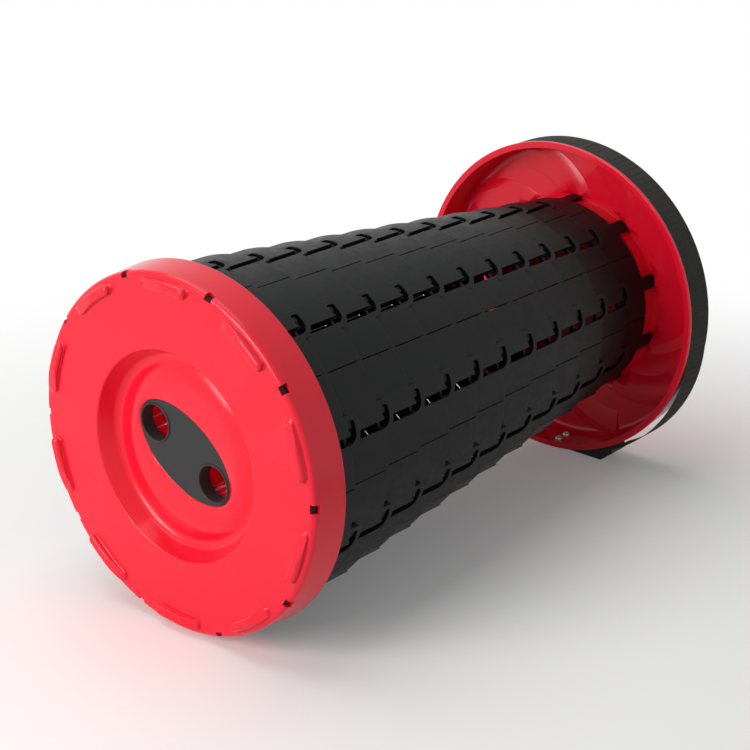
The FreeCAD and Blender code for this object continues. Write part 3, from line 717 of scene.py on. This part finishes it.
class STOOL_OT_strap_screws(bpy.types.Operator):
    """Model the two cross-headed screws inside the skirt"""

    bl_idname = "stool.strap_screws"
    bl_label = "Strap screws"

    def execute(self, context):
        sizes = context.scene.stool_sizes
        material = plated_steel()
        top_r = SCREW_HIGH.y / math.sin(sizes.screw_turn)
        screws = []
        for height in (SCREW_LOW.z + sizes.screw_radius, SCREW_HIGH.z - sizes.screw_radius):
            screws.append(self.screw(sizes, polar(top_r, sizes.screw_turn, height)))
        for screw in screws:
            paint(screw, material)
            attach(screw, "top")
        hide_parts("strap_screws")
        return {"FINISHED"}

    def screw(self, sizes, top):
        """A pan head with a cross recess, its top at a place inside the skirt."""
        out = polar(1, sizes.screw_turn, 0)
        start_mesh(bpy.ops.mesh.primitive_cylinder_add, vertices=32, radius=sizes.screw_radius,
                   depth=sizes.screw_head, location=top + out * (sizes.screw_head / 2),
                   rotation=(0, math.radians(90), sizes.screw_turn))
        select_faces(lambda face: face.normal.dot(out) < -0.9)
        bpy.ops.mesh.bevel(offset=0.6 * sizes.screw_head, segments=4, affect="EDGES")
        head = end_mesh("strap_screw")
        long, narrow = 1.2 * sizes.screw_radius, 0.3 * sizes.screw_radius
        for high, wide in ((long, narrow), (narrow, long)):
            start_mesh(bpy.ops.mesh.primitive_cube_add, size=1, location=top,
                       scale=(1.2 * sizes.screw_head, wide, high), rotation=(0, 0, sizes.screw_turn))
            combine(head, end_mesh("recess"), "DIFFERENCE")
        return head


class STOOL_OT_stage(bpy.types.Operator):
    """Set up the floor that the stool lies on, soft light and the camera"""

    bl_idname = "stool.stage"
    bl_label = "Stage"

    def execute(self, context):
        scene = context.scene
        scene.view_settings.view_transform = "Standard"
        self.floor(scene)
        self.lights(scene)
        self.camera(scene)
        return {"FINISHED"}

    def floor(self, scene):
        """A pale floor under the lying stool, seen only from above."""
        base_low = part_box("base_shell")[0].y
        seat_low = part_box("strap_anchor")[0].y
        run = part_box("seat_shell")[0].z
        tilt = math.atan2(base_low - seat_low, run)
        start_mesh(bpy.ops.mesh.primitive_plane_add, size=8, location=(0, base_low, 0),
                   rotation=(math.radians(-90) + tilt, 0, 0))
        bpy.ops.mesh.subdivide(number_cuts=1)
        bpy.ops.object.mode_set(mode="OBJECT")
        floor = bpy.context.object
        floor.name = "floor"
        material, tree = new_material("pale_floor")
        lit = add(tree, "ShaderNodeBsdfDiffuse", {"Color": linear(scene.stool_finishes.floor_grey)})
        glow = add(tree, "ShaderNodeEmission", {"Strength": 0.12})
        near = add(tree, "ShaderNodeAddShader", {0: lit.outputs[0], 1: glow.outputs[0]})
        white = add(tree, "ShaderNodeEmission", {"Strength": 1.0})
        # Beyond the stool's shadow the floor fades into the white background
        place = add(tree, "ShaderNodeTexCoord", {}).outputs["Object"]
        reach = add(tree, "ShaderNodeVectorMath", {0: place, 1: FADE_CENTRE}, operation="DISTANCE")
        far = add(tree, "ShaderNodeMapRange", {
            "Value": reach.outputs["Value"], 1: 0.35, 2: 0.85, 3: 0.0, 4: 1.0,
        }, interpolation_type="SMOOTHSTEP")
        pale = add(tree, "ShaderNodeMixShader", {0: far.outputs[0], 1: near.outputs[0], 2: white.outputs[0]})
        seen = add(tree, "ShaderNodeMixShader", {
            0: seen_directly(tree), 1: lit.outputs[0], 2: pale.outputs[0]})
        clear = add(tree, "ShaderNodeBsdfTransparent", {})
        side = add(tree, "ShaderNodeNewGeometry", {})
        shader = add(tree, "ShaderNodeMixShader", {
            0: side.outputs["Backfacing"], 1: seen.outputs[0], 2: clear.outputs[0]})
        output(tree, shader)
        paint(floor, material)

    def lights(self, scene):
        """A pale room, a large soft light from above on the left and one from the front left."""
        world = bpy.data.worlds.new("pale_room")
        world.use_nodes = True
        tree = world.node_tree
        tree.nodes.clear()
        direct = seen_directly(tree)
        room = add(tree, "ShaderNodeBackground", {"Color": (1, 1, 1, 1), "Strength": 0.3})
        white = add(tree, "ShaderNodeBackground", {"Color": (1, 1, 1, 1), "Strength": 1.0})
        shown = add(tree, "ShaderNodeMixShader", {0: direct, 1: room.outputs[0], 2: white.outputs[0]})
        add(tree, "ShaderNodeOutputWorld", {"Surface": shown.outputs[0]})
        scene.world = world
        self.softbox("top_light", (-0.4, 1.6, 0.2), 1.6, 13)
        self.softbox("front_light", (-1.25, 0.6, -1.0), 0.9, 18)

    def softbox(self, name, place, size, watts):
        """A square light at a place right, up and back of the stool's middle, turned to it."""
        right, up, back = place
        spot = STOOL_MIDDLE + STAGE_RIGHT * right + STAGE_UP * up + STAGE_BACK * back
        light = bpy.data.lights.new(name, "AREA")
        light.size = size
        light.energy = watts
        lamp = bpy.data.objects.new(name, light)
        bpy.context.scene.collection.objects.link(lamp)
        lamp.location = spot
        lamp.rotation_euler = (STOOL_MIDDLE - spot).to_track_quat("-Z", "Y").to_euler()

    def camera(self, scene):
        """The photograph's viewpoint: level from side to side, looking down at the lying stool."""
        camera = bpy.data.cameras.new("camera")
        camera.lens = CAMERA_LENS
        camera.sensor_width = 36.0
        camera.sensor_fit = "HORIZONTAL"
        eye = bpy.data.objects.new("camera", camera)
        scene.collection.objects.link(eye)
        up = STAGE_RIGHT.cross(CAMERA_VIEW)
        turn = Matrix((STAGE_RIGHT, up, -CAMERA_VIEW)).transposed().to_4x4()
        eye.matrix_world = Matrix.Translation(CAMERA_PLACE) @ turn
        scene.camera = eye


STEPS = (
    STOOL_OT_red_shells,
    STOOL_OT_domed_base,
    STOOL_OT_seat_ribs,
    STOOL_OT_rings,
    STOOL_OT_peg_faces,
    STOOL_OT_finger_plate,
    STOOL_OT_carry_strap,
    STOOL_OT_strap_screws,
    STOOL_OT_stage,
)


class STOOL_PT_panel(bpy.types.Panel):
    """Lists the stool's steps, colours and sizes"""

    bl_label = "Telescopic stool"
    bl_idname = "STOOL_PT_panel"
    bl_space_type = "VIEW_3D"
    bl_region_type = "UI"
    bl_category = "Stool"

    def draw(self, context):
        for step in STEPS:
            self.layout.operator(step.bl_idname)
        for group in (context.scene.stool_finishes, context.scene.stool_sizes):
            for name in group.__annotations__:
                self.layout.prop(group, name)


CLASSES = (StoolFinishes, StoolSizes, *STEPS, STOOL_PT_panel)


def register():
    """Registers the classes and their settings."""
    for cls in CLASSES:
        bpy.utils.register_class(cls)
    bpy.types.Scene.stool_finishes = bpy.props.PointerProperty(type=StoolFinishes)
    bpy.types.Scene.stool_sizes = bpy.props.PointerProperty(type=StoolSizes)


def unregister():
    """Removes the settings and the classes."""
    del bpy.types.Scene.stool_sizes
    del bpy.types.Scene.stool_finishes
    for cls in reversed(CLASSES):
        bpy.utils.unregister_class(cls)


def main():
    """Builds every piece and the stage."""
    register()
    bpy.ops.stool.red_shells()
    bpy.ops.stool.domed_base()
    bpy.ops.stool.seat_ribs()
    bpy.ops.stool.rings()
    bpy.ops.stool.peg_faces()
    bpy.ops.stool.finger_plate()
    bpy.ops.stool.carry_strap()
    bpy.ops.stool.strap_screws()
    bpy.ops.stool.stage()


if __name__ == "__main__":
    main()
